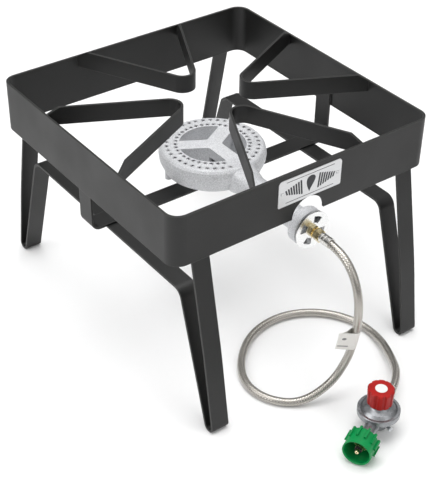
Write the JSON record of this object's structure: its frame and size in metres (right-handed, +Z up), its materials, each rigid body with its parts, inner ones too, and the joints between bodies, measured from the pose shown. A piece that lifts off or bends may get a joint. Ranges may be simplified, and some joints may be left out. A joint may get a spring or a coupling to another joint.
{
  "type": "propane burner stand",
  "caption": "Square black steel outdoor cooker stand on splayed strap legs, with V-shaped pot supports, a round gas burner, a braided hose and a pressure regulator.",
  "frame": {"origin": "centre of the stand's base, at floor level under the feet", "axes": "+Z up; -Y is the front, where the burner's air inlet, the hose and the regulator are; +X is the right-hand side seen from the front"},
  "size_m": [0.4064, 0.6584, 0.3275],
  "materials": {
    "black_powder_coat": "satin powder coat",
    "plate_metal": "brushed",
    "rivet_metal": "satin",
    "burner_cast": "sand-cast, matt",
    "zinc_steel": "zinc plated",
    "brass_fitting": "machined, bright",
    "bright_chrome": "polished",
    "ferrule_steel": "bright crimped",
    "hose_cover": "braided under a clear jacket",
    "tag_paper": "matt label",
    "regulator_zinc": "die-cast, satin plated",
    "valve_brass": "machined",
    "spring_wire": "drawn wire",
    "diaphragm_rubber": "matt",
    "pressed_steel": "pressed, zinc plated",
    "screw_steel": "threaded, zinc plated",
    "red_knob": "moulded, slightly glossy",
    "badge_white": "printed disc",
    "green_nut": "moulded, slightly glossy"
  },
  "bodies": {
    "stand": {"rim_band": "black_powder_coat", "pot_support_front": "black_powder_coat", "pot_support_back": "black_powder_coat", "pot_support_left": "black_powder_coat", "pot_support_right": "black_powder_coat", "leg_strip_left": "black_powder_coat", "leg_strip_right": "black_powder_coat", "burner_crossbar": "black_powder_coat", "name_plate": "plate_metal", "plate_rivets": "rivet_metal", "burner_casting": "burner_cast", "burner_bolt": "zinc_steel", "lock_washer": "zinc_steel", "shutter_spacer": "zinc_steel", "port_screw": "zinc_steel", "gas_jet": "brass_fitting", "orifice_fitting": "brass_fitting", "hose_stem": "brass_fitting", "outlet_fitting": "brass_fitting", "inlet_nipple": "brass_fitting", "valve_seat": "brass_fitting", "bottom_plug": "brass_fitting", "ferrule_burner_end": "ferrule_steel", "ferrule_regulator_end": "ferrule_steel", "hose": "hose_cover", "hose_tag": "tag_paper", "regulator_body": "regulator_zinc", "regulator_bonnet": "regulator_zinc", "poppet_spring": "spring_wire", "regulating_spring": "spring_wire", "flow_check_spring": "spring_wire", "diaphragm": "diaphragm_rubber", "nipple_seal": "diaphragm_rubber"},
    "air_shutter": {"air_shutter": "bright_chrome"},
    "flare_nut": {"flare_nut": "brass_fitting"},
    "knob": {"knob": "red_knob", "knob_badge": "badge_white", "adjusting_screw": "screw_steel"},
    "spring_seat": {"spring_seat": "pressed_steel"},
    "valve": {"diaphragm_plate": "pressed_steel", "valve_poppet": "valve_brass"},
    "flow_check": {"flow_check": "valve_brass"},
    "connector_nut": {"connector_nut": "green_nut"}
  },
  "joints": [
    {"name": "air_shutter_turn", "type": "hinge", "parent": "stand", "child": "air_shutter", "pos_m": [0, -0.2139, 0.227], "axis": [0, -1, 0], "range_deg": [-45, 45]},
    {"name": "flare_nut_turn", "type": "hinge", "parent": "stand", "child": "flare_nut", "pos_m": [0, -0.2305, 0.227], "axis": [0, -1, 0], "continuous": true},
    {"name": "knob_turn", "type": "hinge", "parent": "stand", "child": "knob", "pos_m": [0.003, -0.3595, 0], "axis": [0, 0, -1], "range_deg": [0, 900]},
    {"name": "spring_seat_slide", "type": "slide", "parent": "stand", "child": "spring_seat", "axis": [0, 0, -1], "range_m": [0, 0.00375], "deforming": ["regulating_spring"]},
    {"name": "valve_lift", "type": "slide", "parent": "stand", "child": "valve", "axis": [0, 0, -1], "range_m": [0, 0.0012], "stiffness_N_per_m": 900, "springref_m": -0.0004, "deforming": ["poppet_spring", "diaphragm"]},
    {"name": "flow_check_slide", "type": "slide", "parent": "stand", "child": "flow_check", "axis": [0.8949, 0.4462, 0], "range_m": [0, 0.0015], "stiffness_N_per_m": 60, "springref_m": -0.001},
    {"name": "connector_nut_turn", "type": "hinge", "parent": "stand", "child": "connector_nut", "pos_m": [0.003, -0.3595, 0.0209], "axis": [-0.8949, -0.4462, 0], "continuous": true}
  ],
  "couplings": [
    {"joint": "spring_seat_slide", "follows": "knob_turn", "m_per_rad": 0.00023873}
  ]
}
